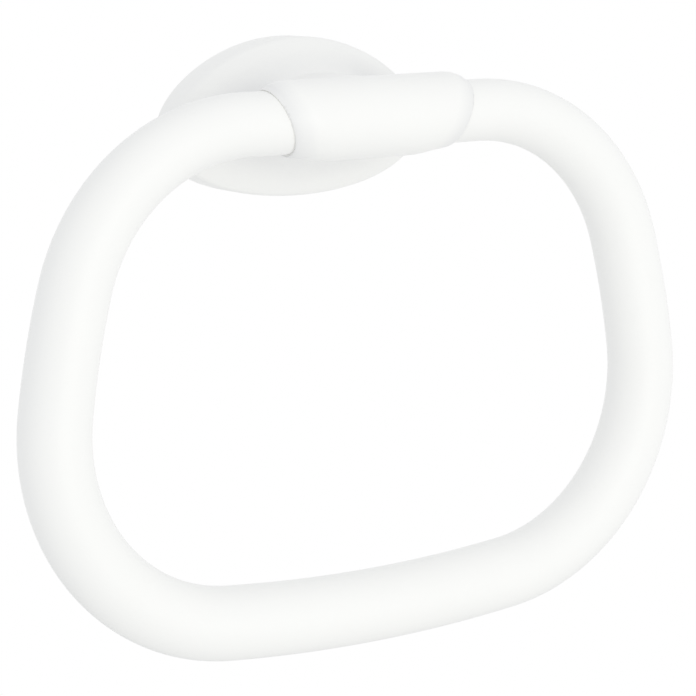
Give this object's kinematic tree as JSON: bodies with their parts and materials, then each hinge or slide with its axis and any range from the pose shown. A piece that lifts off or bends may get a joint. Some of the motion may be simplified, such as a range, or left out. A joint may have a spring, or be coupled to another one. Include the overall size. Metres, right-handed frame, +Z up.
{
  "type": "towel ring",
  "caption": "Wall towel ring: a thick, glossy, round-cornered plastic loop whose ends turn in the tubular head of a stout egg-shaped wall holder.",
  "frame": {"origin": "centre of the plate's back on the wall, midway between the wall screws", "axes": "+X to the right along the ring's axis, +Y into the wall, +Z up"},
  "size_m": [0.2258, 0.0581, 0.1779],
  "materials": {
    "white_plastic": "smooth gloss moulding, white",
    "bracket_metal": "plain die cast",
    "screw_steel": "bright steel"
  },
  "bodies": {
    "wall_holder": {"holder": "white_plastic", "wall_bracket": "bracket_metal", "set_screw": "screw_steel"},
    "swing_ring": {"ring": "white_plastic"}
  },
  "joints": [
    {"name": "ring_swing", "type": "hinge", "parent": "wall_holder", "child": "swing_ring", "pos_m": [0, -0.0462, 0.002], "axis": [-1, 0, 0], "range_deg": [-13.9, 168]}
  ]
}
